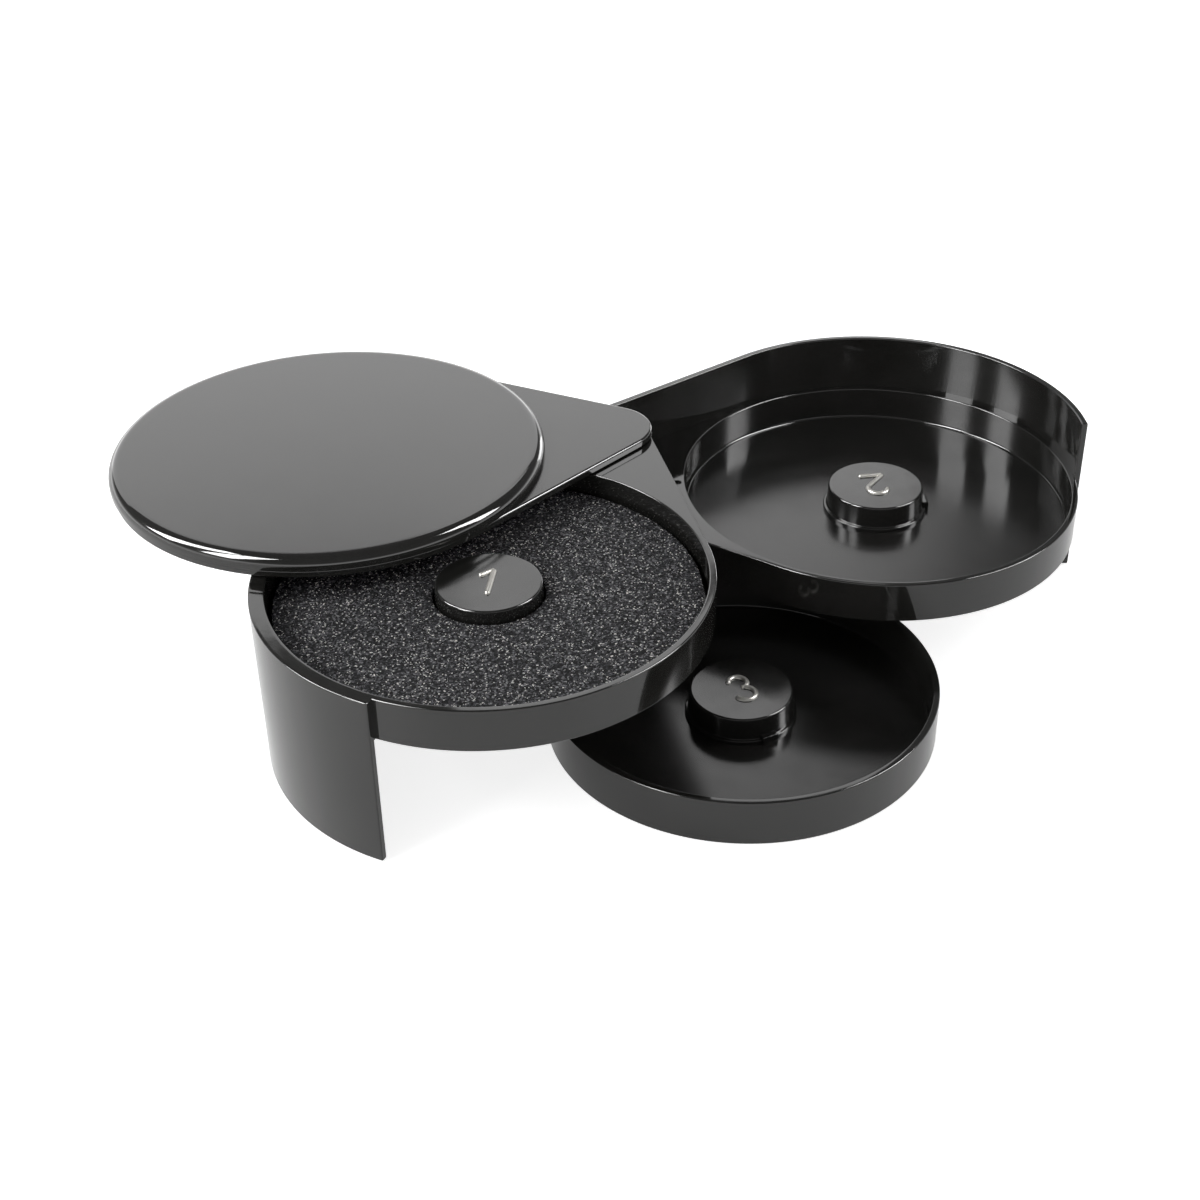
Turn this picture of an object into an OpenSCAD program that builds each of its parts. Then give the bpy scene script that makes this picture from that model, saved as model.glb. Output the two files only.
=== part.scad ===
// Glass rimmer: three round trays and a lid that swing about one upright
// pivot. Closed, they stack inside a two-piece shell: one half of the shell
// hangs from the top tray, the other half stands on the middle tray.
// Origin: on the pivot axis, at the plane the bottom tray stands on.
// Each tray is drawn with its nose along +X from the pivot and is then turned.

/* [Plan] */
// Distance from the pivot axis to the centre of each tray
pivot_to_centre = 101.5; // [96:0.5:110]
// Outer radius of the middle and top tray rings
ring_r = 74.8; // [73:0.1:77]
// Outer radius of the bottom tray ring
base_ring_r = 67.2; // [62:0.1:72]
// Wall of every tray ring
ring_wall = 2.5; // [2:0.1:3.5]
// Radius of the rounded end of each tray around the pivot
tip_r = 15.4; // [14.5:0.1:18]
// Running gap between a ring and the shell half that closes round it
shell_gap = 0.4; // [0.3:0.05:0.6]
// Wall of the two shell halves
shell_wall = 2.4; // [1.8:0.1:3]
// Distance of the middle tray's shell end from the nose line, negative past it
wall_end = -2; // [-2:0.1:1]
// Distance of the top tray's shell end from the nose line
skirt_end = 2.6; // [2.6:0.1:6]
// Bearing at which both shell halves stop behind the pivot
tail_bearing = 120; // [110:1:121]

/* [Heights] */
// Height of the bottom tray
base_h = 16.8; // [14:0.1:20]
// Underside of the middle tray
salt_z = 25.6; // [22:0.1:28]
// Underside of the top tray
lime_z = 47; // [44:0.1:50]
// Height of the middle and top tray rings
tray_h = 15.1; // [14.5:0.1:17]
// Tray floor thickness
floor_t = 2.2; // [1.8:0.1:3]
// Height of the shell's lower edge over the table
shell_clearance = 0.4; // [0.3:0.1:1]
// Rounding of rims and lower edges
edge_round = 0.5; // [0.3:0.1:0.8]
// Radius of the cove between a tray's floor and its ring
cove_r = 1; // [0.5:0.1:1.5]

/* [Lid] */
// Radius of the raised disc on the lid
disc_r = 77.3; // [76:0.1:80]
// How far the disc stands out over the lid plate
lid_overhang = 0.8; // [0:0.1:2]
// Radius of the lid plate's rounded end around the pivot
plate_tip_r = 16.6; // [15:0.1:18]
// Thickness of the lid plate
plate_t = 2.7; // [2:0.1:4]
// Height of the raised disc over the plate
disc_t = 4.8; // [4:0.1:6]
// Rounding of the disc's upper edge
disc_round = 2.4; // [1:0.1:2.5]
// Width of the lid's rim around the recess in its underside
lid_rim = 5.3; // [4:0.1:8]
// Thickness of the disc over that recess
lid_roof = 3; // [2.5:0.1:4]

/* [Buttons] */
// Radius of a button at its top
button_r = 17.8; // [15:0.1:20]
// Height of a button's top over the underside of its tray
button_top = 11.7; // [11.5:0.1:13.5]
// Growth of the button's radius from its top to its base
button_draft = 0.4; // [0:0.1:0.8]
// Rounding of the button's upper edge
button_round = 0.7; // [0.3:0.1:1]
// Wall and roof thickness of a button
button_wall = 2; // [1.5:0.1:2.5]
// How far the button's foot flange stands out
button_flange = 1.2; // [0.8:0.1:2]
// Thickness of the button's foot flange
button_flange_t = 1.4; // [1:0.1:2]
// Gap between a button and the boss that it sits on
button_gap = 0.15; // [0.1:0.05:0.3]

/* [Sponge] */
// Thickness of the sponge ring
sponge_t = 5.3; // [5:0.1:9]
// Gap between the sponge and the tray or the button
sponge_gap = 0.6; // [0.3:0.1:1]

/* [Pivot] */
// Shoulder radius of the pivot bolt
bolt_r = 3; // [2.5:0.1:3.5]
// Radial clearance of the bolt in the tray hubs
bolt_clearance = 0.06; // [0.03:0.01:0.09]
// Thread radius of the pivot bolt
thread_r = 2.4; // [2:0.1:2.4]
// Head radius of the pivot bolt
head_r = 5.4; // [4.5:0.1:6]
// Head height of the pivot bolt
head_t = 3.2; // [2.5:0.1:3.5]
// Height of the bolt head's underside over the table
head_z = 1.4; // [1:0.1:2]
// Hexagon socket size across flats
socket_af = 4; // [3:0.5:5]
// Hub radius of every tray
hub_r = 10.5; // [9:0.1:12]
// Thickness of the thrust washers between the tiers
washer_t = 0.5; // [0.4:0.05:1]
// Axial play that each thrust washer has between its tiers
washer_play = 0.04; // [0.02:0.01:0.1]
// Outer radius of the thrust washers
washer_r = 9.5; // [8.5:0.1:10]
// Outer radius of the washers at the bolt head
head_washer_r = 6.6; // [6:0.1:7]
// Thickness of the flat washer at the bolt head
head_washer_t = 1; // [0.8:0.1:1.4]
// Height of the spring washer at the bolt head
spring_washer_t = 1.6; // [1.2:0.1:2]
// Radius of the boss under the lid that holds the insert
boss_r = 6.6; // [6:0.1:7]
// Length of the boss under the lid
boss_l = 9; // [7:0.1:10]
// Radius of the threaded insert
insert_r = 4.2; // [3.8:0.1:4.6]
// Length of the threaded insert
insert_l = 7.5; // [5:0.1:8]
// Distance of the locating dimple from the pivot axis
dimple_u = 26.2; // [24:0.1:26.5]
// Radius of the locating dimple
dimple_r = 1.4; // [1:0.1:1.6]

/* [Open position] */
// Angle of the middle tray from the closed position
salt_angle = 65.3; // [0:0.5:66]
// Angle of the top tray from the closed position
lime_angle = 49.2; // [0:0.5:51]
// Angle of the lid from the closed position
lid_angle = 105.5; // [0:0.5:180]

/* [Hidden] */
$fn = 128;

// Nose direction of the closed stack
closed_bearing = -90;
// Overshoot of cutting tools
eps = 0.1;
// Reach of cutting tools past the object
far = 300;
// How far the tangent sides of a web run inside its round ends
tangent_bite = 0.004;

ring_bore = ring_r - ring_wall;
base_ring_bore = base_ring_r - ring_wall;
shell_in = ring_r + shell_gap;
shell_out = shell_in + shell_wall;
shell_tip_in = tip_r + shell_gap;
shell_tip_out = shell_tip_in + shell_wall;
rim_z = lime_z + tray_h;
lid_z = rim_z + washer_t;
plate_r = disc_r - lid_overhang;
plate_top = lid_z + plate_t;
bore_r = bolt_r + bolt_clearance;

// Counterbore for the bolt head and its washers, under the bottom hub
pocket_r = hub_r - ring_wall;
pocket_top = head_z + head_t + head_washer_t + spring_washer_t;
// Bore in the top tray's hub for the boss under the lid
boss_bore_r = boss_r + bolt_clearance;
boss_z = lid_z - boss_l;
boss_bore_z = boss_z - washer_t;
insert_z = boss_z;
// The bolt's thread ends below the top of the insert
thread_end_gap = 1;
thread_l = insert_l - thread_end_gap;

// Boss that a button sits on, cored out from below
button_base_r = button_r + button_draft;
boss_top = button_top - button_wall - button_gap;
seat_r = button_r - button_wall - button_gap;
seat_wall = 2.4;
core_r = seat_r - seat_wall;
core_top = boss_top - seat_wall;
foot_r = button_base_r + button_flange;
// Tab on the button's foot flange
tab_w = 6;
tab_reach = 0.9;
tab_t = 2 * button_flange_t;

// Thickness of the web's top, and of the rib under it
web_t = 2.6;
rib_t = 2;
// Relief under the tray floors, inside a foot ring
relief = 0.8;
foot_ring = 6;
// Depth of the locating dimple
dimple_depth = 1.2;

// Tangent that joins a big circle at the tray centre to the tip circle
function lean(big, tip) = asin((big - tip) / pivot_to_centre);
function tip_point(big, tip) = [-tip * sin(lean(big, tip)), tip * cos(lean(big, tip))];
function ring_point(big, tip) =
    [pivot_to_centre - big * sin(lean(big, tip)), big * cos(lean(big, tip))];
function flip(p) = [p[0], -p[1]];

// What lies between a square corner at a point and a quarter round inside it:
// cut from an outer corner it rounds it, added to an inner one it is a fillet.
// Turn 0 opens towards +X +Y, and each 90 degrees the next quadrant.
module spandrel(at, r, turn) {
    translate(at) rotate(turn) difference() {
        square(r);
        translate([r, r]) circle(r = r);
    }
}

// Area between the two tangents, its sides a hair inside the round ends so that
// they run into them cleanly
module web_outline(big, tip) {
    b = big - tangent_bite;
    t = tip - tangent_bite;
    polygon([tip_point(b, t), ring_point(b, t), flip(ring_point(b, t)), flip(tip_point(b, t))]);
}

// Upright cylinder with its upper edge rounded
module rounded_post(radius, height, r) {
    rotate_extrude() difference() {
        square([radius, height]);
        spandrel([radius, height], r, 180);
    }
}

// Solid of the teardrop plan between two heights
module teardrop(big, tip, z0, z1) {
    translate([0, 0, z0]) {
        linear_extrude(z1 - z0) web_outline(big, tip);
        cylinder(r = tip, h = z1 - z0);
        translate([pivot_to_centre, 0, 0]) cylinder(r = big, h = z1 - z0);
    }
}

module turned(angle) {
    rotate([0, 0, closed_bearing + angle]) children();
}

module at_centre(z) {
    translate([pivot_to_centre, 0, z]) children();
}

// Half of the plan on the anticlockwise side, cut off behind the pivot
module shell_side(nose_gap) {
    linear_extrude(far)
        polygon([[0, 0], [far * cos(tail_bearing), far * sin(tail_bearing)],
                 [far, far], [far, nose_gap], [pivot_to_centre, nose_gap]]);
}

// Half shell on the anticlockwise side, with the step that carries it on its tray
module half_shell(nose_gap, tray_z) {
    intersection() {
        shell_side(nose_gap);
        union() {
            difference() {
                teardrop(shell_out, shell_tip_out, shell_clearance, rim_z);
                teardrop(shell_in, shell_tip_in, -eps, rim_z + eps);
            }
            difference() {
                teardrop(shell_in + shell_wall / 2, shell_tip_in + shell_wall / 2,
                         tray_z, tray_z + tray_h);
                teardrop(ring_r - ring_wall / 2, tip_r - ring_wall / 2,
                         tray_z - eps, tray_z + tray_h + eps);
            }
        }
    }
}

// Dish of a tray: ring, floor with a foot ring, and the boss for its button
module dish(outer, bore, height) {
    rotate_extrude() {
        difference() {
            polygon([[core_r, 0], [core_r, core_top], [0, core_top], [0, boss_top],
                     [seat_r, boss_top], [seat_r, floor_t], [bore, floor_t], [bore, height],
                     [outer, height], [outer, 0], [outer - foot_ring, 0],
                     [outer - foot_ring - relief, relief], [core_r + relief, relief]]);
            spandrel([seat_r, boss_top], edge_round, 180);
            spandrel([bore, height], edge_round, 270);
            spandrel([outer, height], edge_round, 180);
            spandrel([outer, 0], edge_round, 90);
        }
        spandrel([bore, floor_t], cove_r, 90);
    }
}

// Web that carries a dish on its hub, hollow below with a rib along the middle
module web(outer, bore, height) {
    difference() {
        union() {
            linear_extrude(height) web_outline(outer, tip_r);
            cylinder(r = tip_r, h = height);
        }
        at_centre(-eps) cylinder(r = bore + ring_wall / 2, h = height + 2 * eps);
        difference() {
            translate([0, 0, -eps]) {
                linear_extrude(height - web_t + eps)
                    web_outline(outer - ring_wall, tip_r - ring_wall);
                cylinder(r = tip_r - ring_wall, h = height - web_t + eps);
            }
            translate([0, 0, -2 * eps]) cylinder(r = hub_r, h = height);
            translate([0, -rib_t / 2, -2 * eps]) cube([pivot_to_centre, rib_t, height]);
            at_centre(-2 * eps) cylinder(r = outer, h = height);
        }
    }
}

module tray(outer, height, z) {
    translate([0, 0, z]) {
        at_centre(0) dish(outer, outer - ring_wall, height);
        web(outer, outer - ring_wall, height);
    }
}

module dimple(top) {
    translate([dimple_u, 0, top - dimple_depth]) cylinder(r = dimple_r, h = dimple_depth + eps);
}

module sugar_tray() {
    hub_top = salt_z - washer_t;
    color("#151515") turned(0) difference() {
        union() {
            tray(base_ring_r, base_h, 0);
            cylinder(r = hub_r, h = hub_top);
        }
        translate([0, 0, -eps]) cylinder(r = bore_r, h = hub_top + 2 * eps);
        translate([0, 0, -eps]) cylinder(r = pocket_r, h = pocket_top + eps);
    }
}

module salt_tray() {
    hub_top = lime_z - washer_t;
    color("#151515") turned(salt_angle) difference() {
        union() {
            tray(ring_r, tray_h, salt_z);
            translate([0, 0, salt_z]) cylinder(r = hub_r, h = hub_top - salt_z);
            half_shell(wall_end, salt_z);
        }
        translate([0, 0, salt_z - eps]) cylinder(r = bore_r, h = hub_top - salt_z + 2 * eps);
        dimple(salt_z + tray_h);
    }
}

module lime_tray() {
    color("#151515") turned(-lime_angle) difference() {
        union() {
            tray(ring_r, tray_h, lime_z);
            mirror([0, 1, 0]) half_shell(skirt_end, lime_z);
        }
        translate([0, 0, lime_z - eps]) cylinder(r = bore_r, h = tray_h + 2 * eps);
        translate([0, 0, boss_bore_z]) cylinder(r = boss_bore_r, h = tray_h);
        dimple(rim_z);
    }
}

// Round cap with a drafted side, a rounded roof edge and a foot flange with one tab
module button(z) {
    at_centre(z) difference() {
        union() {
            rotate_extrude() difference() {
                polygon([[0, floor_t], [foot_r, floor_t],
                         [foot_r, floor_t + button_flange_t],
                         [button_base_r, floor_t + button_flange_t],
                         [button_r, button_top - button_round], [button_r, button_top],
                         [0, button_top]]);
                spandrel([foot_r, floor_t + button_flange_t], edge_round, 180);
                spandrel([button_r, button_top], button_round, 180);
            }
            translate([button_base_r, -tab_w / 2, floor_t])
                cube([button_flange + tab_reach, tab_w, tab_t]);
        }
        translate([0, 0, floor_t - eps])
            cylinder(r = seat_r + button_gap, h = boss_top + button_gap - floor_t + eps);
    }
}

module sugar_button() {
    color("#1c1c1c") turned(0) button(0);
}

module salt_button() {
    color("#1c1c1c") turned(salt_angle) button(salt_z);
}

module lime_button() {
    color("#1c1c1c") turned(-lime_angle) button(lime_z);
}

// Sponge ring, its hole relieved below for the button's foot flange and tab
module lime_sponge() {
    color("#3a3a3e") turned(-lime_angle) at_centre(lime_z + floor_t)
        difference() {
            cylinder(r = ring_bore - cove_r - sponge_gap, h = sponge_t);
            translate([0, 0, -eps])
                cylinder(r = button_base_r + sponge_gap, h = sponge_t + 2 * eps);
            translate([0, 0, -eps])
                cylinder(r = foot_r + tab_reach + sponge_gap, h = tab_t + sponge_gap + eps);
        }
}

module lid() {
    color("#1b1b1b") turned(-lid_angle) difference() {
        union() {
            teardrop(plate_r, plate_tip_r, lid_z, plate_top);
            at_centre(plate_top) rounded_post(disc_r, disc_t, disc_round);
            translate([0, 0, boss_z]) cylinder(r = boss_r, h = boss_l + plate_t / 2);
        }
        at_centre(lid_z - eps)
            cylinder(r = disc_r - lid_rim, h = plate_t + disc_t - lid_roof + eps);
        translate([0, 0, boss_z - eps]) cylinder(r = insert_r, h = insert_l + eps);
    }
}

module lid_insert() {
    color("#b5964a") translate([0, 0, insert_z]) difference() {
        cylinder(r = insert_r, h = insert_l);
        translate([0, 0, -eps]) cylinder(r = thread_r, h = insert_l + 2 * eps);
    }
}

module pivot_bolt() {
    shoulder_z = head_z + head_t;
    color("#a8a8ac") difference() {
        union() {
            rotate_extrude() difference() {
                translate([0, head_z]) square([head_r, head_t]);
                spandrel([head_r, head_z], edge_round, 90);
                spandrel([head_r, shoulder_z], edge_round, 180);
            }
            translate([0, 0, shoulder_z]) cylinder(r = bolt_r, h = insert_z - shoulder_z);
            translate([0, 0, insert_z]) cylinder(r = thread_r, h = thread_l);
        }
        translate([0, 0, head_z - eps])
            cylinder(d = socket_af / cos(30), h = head_t * 0.7 + eps, $fn = 6);
    }
}

module washer(z, outer, thickness) {
    translate([0, 0, z]) difference() {
        cylinder(r = outer, h = thickness);
        translate([0, 0, -eps]) cylinder(r = bore_r, h = thickness + 2 * eps);
    }
}

module head_washer() {
    color("#b0b0b4") washer(head_z + head_t, head_washer_r, head_washer_t);
}

// Cupped spring washer, a thin cone pressed between the flat washer and the hub
module spring_washer() {
    leaf = 0.6;
    color("#8f8f94") translate([0, 0, head_z + head_t + head_washer_t])
        rotate_extrude()
            polygon([[bore_r, spring_washer_t - leaf], [bore_r, spring_washer_t],
                     [bore_r + leaf, spring_washer_t], [head_washer_r, leaf],
                     [head_washer_r, 0], [head_washer_r - leaf, 0]]);
}

module lower_washer() {
    color("#d8d4c8") washer(salt_z - washer_t, washer_r, washer_t - washer_play);
}

module middle_washer() {
    color("#d8d4c8") washer(lime_z - washer_t, washer_r, washer_t - washer_play);
}

module upper_washer() {
    color("#d8d4c8") translate([0, 0, rim_z]) difference() {
        cylinder(r = washer_r, h = washer_t - washer_play);
        translate([0, 0, -eps]) cylinder(r = boss_bore_r, h = washer_t + 2 * eps);
    }
}

sugar_tray();
sugar_button();
salt_tray();
salt_button();
lime_tray();
lime_button();
lime_sponge();
lid();
lid_insert();
pivot_bolt();
head_washer();
spring_washer();
lower_washer();
middle_washer();
upper_washer();
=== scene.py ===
import math
import bmesh
import bpy
from mathutils import Matrix, Vector


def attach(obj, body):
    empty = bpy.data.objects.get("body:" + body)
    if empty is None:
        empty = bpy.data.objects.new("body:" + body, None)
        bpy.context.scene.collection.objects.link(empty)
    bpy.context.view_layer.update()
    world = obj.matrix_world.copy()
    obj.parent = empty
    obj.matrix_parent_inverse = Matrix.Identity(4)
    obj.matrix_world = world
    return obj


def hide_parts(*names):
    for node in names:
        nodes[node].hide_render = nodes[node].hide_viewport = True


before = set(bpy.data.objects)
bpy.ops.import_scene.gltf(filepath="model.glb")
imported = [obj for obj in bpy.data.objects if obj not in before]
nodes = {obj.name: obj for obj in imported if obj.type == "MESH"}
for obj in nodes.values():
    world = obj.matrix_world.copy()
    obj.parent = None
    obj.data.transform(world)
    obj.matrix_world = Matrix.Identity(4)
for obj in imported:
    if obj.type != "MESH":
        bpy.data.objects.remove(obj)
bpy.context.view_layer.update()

mm = 0.001
samePoint = 1e-7   # metres; points nearer than this are one point
past = 1   # millimetres that a cut or a joined solid runs past the face it meets
black, white = (0, 0, 0), (1, 1, 1)
print("frame loaded:", len(nodes), "nodes")


class Wire:
    # A node's output that can stand in a sum, so that wire * 2 + 1 adds its Math nodes
    def __init__(self, graph, socket):
        self.graph, self.socket = graph, socket

    def maths(self, operation, other, swapped=False):
        first, second = (other, self) if swapped else (self, other)
        return self.graph.add("ShaderNodeMath", {"operation": operation}, {0: first, 1: second})

    def __add__(self, other): return self.maths("ADD", other)
    def __radd__(self, other): return self.maths("ADD", other)
    def __sub__(self, other): return self.maths("SUBTRACT", other)
    def __rsub__(self, other): return self.maths("SUBTRACT", other, True)
    def __mul__(self, other): return self.maths("MULTIPLY", other)
    def __rmul__(self, other): return self.maths("MULTIPLY", other)
    def __truediv__(self, other): return self.maths("DIVIDE", other)
    def __rtruediv__(self, other): return self.maths("DIVIDE", other, True)


class Graph:
    def __init__(self, tree):
        self.tree = tree

    def add(self, kind, settings=None, values=None, output=0):
        # One node: its settings first, then the values or the links of its sockets
        node = self.tree.nodes.new(kind)
        for key, value in (settings or {}).items():
            if key == "stops":
                ramp = node.color_ramp
                while len(ramp.elements) < len(value):
                    ramp.elements.new(0.5)
                for element, (place, colour) in zip(ramp.elements, value):
                    element.position = place
                    element.color = (*colour, 1)
            else:
                setattr(node, key, value)
        for key, value in (values or {}).items():
            if isinstance(value, Wire):
                self.tree.links.new(value.socket, node.inputs[key])
            else:
                node.inputs[key].default_value = value
        return Wire(self, node.outputs[output])


class Finish(Graph):
    # A material: fixed numbers go on the shader's own sockets, patterns are linked to them
    def __init__(self, name, **fixed):
        self.material = bpy.data.materials.new(name)
        self.material.use_nodes = True
        super().__init__(self.material.node_tree)
        self.shader = self.tree.nodes["Principled BSDF"]
        for key, value in fixed.items():
            self.shader.inputs[key.replace("_", " ")].default_value = value
        self.place = self.add("ShaderNodeTexCoord", output="Object")

    def noise(self, size, detail=2.0, roughness=0.5):
        # Pattern of a size in millimetres
        return self.add("ShaderNodeTexNoise", values={
            "Vector": self.place, "Scale": 1 / (size * mm),
            "Detail": detail, "Roughness": roughness})

    def cells(self, size):
        # A grey of its own for every cell of this size
        cell = self.add("ShaderNodeTexVoronoi", {"feature": "F1"},
                        {"Vector": self.place, "Scale": 1 / (size * mm)}, "Color")
        return self.add("ShaderNodeSeparateColor", values={0: cell})

    def ramp(self, wire, *stops):
        return self.add("ShaderNodeValToRGB", {"stops": stops}, {0: wire})

    def bump(self, height, depth, below=None):
        values = {"Height": height, "Distance": depth * mm}
        if below is not None:
            values["Normal"] = below
        return self.add("ShaderNodeBump", values=values)

    def feed(self, **wires):
        for key, wire in wires.items():
            self.tree.links.new(wire.socket, self.shader.inputs[key.replace("_", " ")])
        return self.material


plasticLook = {
    "ior": 1.52, "coat": 0.12,
    "black": (0.0105, 0.0105, 0.0095), "worn": (0.016, 0.0155, 0.0145),
    "cloud": 18, "smudge": 9, "peel": 3.2,   # sizes of the patterns in millimetres
    # each finish: roughness, what a smudge adds, depth of the peel, size and depth of the grain
    "gloss": (0.05, 0.06, 0.003, 1.2, 0.0006),
    "satin": (0.21, 0.03, 0.0008, 0.35, 0.002),
    "lid": (0.2, 0.03, 0.001, 0.4, 0.0015),
    "cap": (0.13, 0.05, 0.003, 0.6, 0.001),
}


def blackPlastic(name, kind):
    # Injection-moulded black plastic: faint cloudiness, handling smudges, orange peel, mould grain
    look = plasticLook
    rough, smudgeRough, peelDepth, grain, grainDepth = look[kind]
    f = Finish(name, IOR=look["ior"], Coat_IOR=look["ior"], Coat_Roughness=rough,
               Coat_Weight=look["coat"])
    colour = f.ramp(f.noise(look["cloud"], 3), (0.3, look["black"]), (0.75, look["worn"]))
    smudge = f.ramp(f.noise(look["smudge"], 5, 0.62), (0.42, black), (0.72, white))
    peel = f.bump(f.noise(look["peel"], 1), peelDepth)
    relief = f.bump(f.noise(grain, 2), grainDepth, peel)
    return f.feed(Base_Color=colour, Roughness=rough + smudge * smudgeRough, Normal=relief)


glossBlack = blackPlastic("gloss black plastic", "gloss")
floorBlack = blackPlastic("satin black plastic", "satin")
lidBlack = blackPlastic("lid black plastic", "lid")
capBlack = blackPlastic("button cap plastic", "cap")

# Painted highlight of the numerals: their pale colours stand in for reflections, not for a colour
# of their own
numeralLook = {
    "metallic": 0.6, "highlightPatch": 4, "depth": 0.01, "rough": 0.3, "highlightPatchRough": 0.1,
    "dark": (0.38, 0.37, 0.345), "pale": (0.5, 0.49, 0.46),
}


def paintedHighlightNumeralFinish():
    # Painted highlight: the raised numerals' tops take a pale metallic colour in noise patches,
    # standing in for the lamps' bright reflections on them
    look = numeralLook
    f = Finish("rubbed numeral", IOR=plasticLook["ior"], Metallic=look["metallic"])
    highlightPatch = f.noise(look["highlightPatch"])
    return f.feed(Base_Color=f.ramp(highlightPatch, (0.3, look["dark"]), (0.7, look["pale"])),
                  Roughness=highlightPatch * look["highlightPatchRough"] + look["rough"],
                  Normal=f.bump(highlightPatch, look["depth"]))


numeralPaintedHighlight = paintedHighlightNumeralFinish()

metalLook = {"stain": 4, "marks": 900.0, "marksRough": 0.15, "marksDepth": 0.01}


def metal(name, colour, dark, rough, stretch):
    # Bare metal: dull stains, and fine tool marks that the stretch draws round the part
    look = metalLook
    f = Finish(name, Metallic=1.0)
    stain = f.noise(look["stain"], 4, 0.6)
    turned = f.add("ShaderNodeMapping", values={"Vector": f.place, "Scale": stretch})
    marks = f.add("ShaderNodeTexNoise",
                  values={"Vector": turned, "Scale": look["marks"], "Detail": 3.0})
    return f.feed(Base_Color=f.ramp(stain, (0.3, dark), (0.7, colour)),
                  Roughness=rough + marks * look["marksRough"],
                  Normal=f.bump(marks, look["marksDepth"]))


brass = metal("turned brass", (0.66, 0.48, 0.2), (0.5, 0.35, 0.14), 0.22, (0.15, 0.15, 4))
steel = metal("zinc-plated steel", (0.62, 0.62, 0.64), (0.45, 0.45, 0.47), 0.24, (0.4, 0.4, 3))
springSteel = metal("spring steel", (0.36, 0.35, 0.36), (0.24, 0.23, 0.24), 0.3, (1, 1, 2))

nylonLook = {
    "ior": 1.53, "glow": 0.15, "glowReach": (0.002, 0.0018, 0.0015),
    "cloud": 5, "grain": 0.4, "grainDepth": 0.004, "rough": 0.42, "cloudRough": 0.12,
    "dull": (0.7, 0.67, 0.6), "white": (0.8, 0.78, 0.72),
}


def nylonFinish():
    # Milky nylon that lets a little light in
    look = nylonLook
    f = Finish("white nylon", IOR=look["ior"], Subsurface_Weight=look["glow"],
               Subsurface_Radius=look["glowReach"])
    cloud = f.noise(look["cloud"], 3)
    return f.feed(Base_Color=f.ramp(cloud, (0.3, look["dull"]), (0.7, look["white"])),
                  Roughness=look["rough"] + cloud * look["cloudRough"],
                  Normal=f.bump(f.noise(look["grain"], 2), look["grainDepth"]))


nylon = nylonFinish()

spongeLook = {
    "specular": 0.1, "grain": 0.6, "fine": 0.22, "fineDepth": 0.2,
    "grainShare": 0.75, "fineShare": 0.5, "darken": 0.125, "rough": 0.9, "paleSmooth": 0.35,
    "dark": (0.004, 0.004, 0.005), "mid": (0.016, 0.0165, 0.0185),
    "grey": (0.068, 0.069, 0.076), "bright": (0.3, 0.3, 0.31),
    # painted glint: the size of its cells, where it starts, and its near-white colour
    "paintedGlintGrain": 0.4, "paintedGlintFrom": (0.955, 0.97), "paintedGlint": (0.85, 0.84, 0.8),
}


def spongeFinish():
    # Charcoal open-cell foam: every grain has its own grey, and a few cells get a painted glint, a
    # near-white colour that stands in for highlights
    look = spongeLook
    f = Finish("charcoal sponge", Specular_IOR_Level=look["specular"])
    tone = f.cells(look["grain"])
    fine = f.noise(look["fine"], 2, 0.6)
    mixed = tone * look["grainShare"] + fine * look["fineShare"] - look["darken"]
    colour = f.ramp(mixed, (0.28, look["dark"]), (0.5, look["mid"]), (0.76, look["grey"]),
                    (0.92, look["bright"]))
    # Painted glint: the few cells past this threshold are mixed to near white in place of
    # highlights
    unlit, lit = look["paintedGlintFrom"]
    paintedGlint = f.ramp(f.cells(look["paintedGlintGrain"]), (unlit, black), (lit, white))
    # Sockets 6 and 7 of Mix, and its output 2, are the ones for colours
    colour = f.add("ShaderNodeMix", {"data_type": "RGBA"},
                   {0: paintedGlint, 6: colour, 7: (*look["paintedGlint"], 1)}, 2)
    return f.feed(Base_Color=colour, Roughness=look["rough"] - tone * look["paleSmooth"],
                  Normal=f.bump(fine, look["fineDepth"]))


spongeGrey = spongeFinish()
print("finishes made")

plan = {   # the plan that every tray shares, in millimetres and degrees
    "reach": 101.5, "ring": 74.8, "baseRing": 67.2, "wall": 2.5, "tip": 15.4,
    "closedBearing": -90, "rimTop": 62.1,
    "roundSteps": 76, "sideSteps": 20, "tipSteps": 10,
}
swing = {"sugar": 0, "salt": 65.3, "lime": -49.2, "lid": -105.5}
ringCentre = (plan["reach"], 0)


def lean(big, tip):
    # How far the straight sides lean from the centre line
    return math.asin((big - tip) / plan["reach"])


def tipStart(big, tip):
    # Angle at the ring's centre between the pivot and the end of a straight side
    side = lean(big, tip)
    return math.atan2(tip * math.cos(side), plan["reach"] + tip * math.sin(side))


def edgeOf(phi, big, tip):
    # Distance from the ring's centre to the teardrop outline; phi is 0 at the front of the ring
    a = abs(phi)
    turn = math.pi / 2 + lean(big, tip)
    back = math.pi - a
    if a <= turn:
        return big
    if back >= tipStart(big, tip):
        return big / math.cos(a - turn)
    across = plan["reach"] * math.sin(back)
    return plan["reach"] * math.cos(back) + math.sqrt(tip ** 2 - across ** 2)


def planAngles(big, tip):
    # Angles for the loops, closest together round the tip, and the same on both sides
    turn = math.pi / 2 + lean(big, tip)
    straight = math.pi - tipStart(big, tip) - turn
    half = [turn * i / plan["roundSteps"] for i in range(plan["roundSteps"])]
    half += [turn + straight * i / plan["sideSteps"] for i in range(plan["sideSteps"])]
    for i in range(plan["tipSteps"] + 1):
        psi = turn + (math.pi - turn) * i / plan["tipSteps"]
        half.append(math.atan2(tip * math.sin(psi), tip * math.cos(psi) - plan["reach"]))
    half[-1] = math.pi
    return half + [-a for a in reversed(half[1:-1])]


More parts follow.
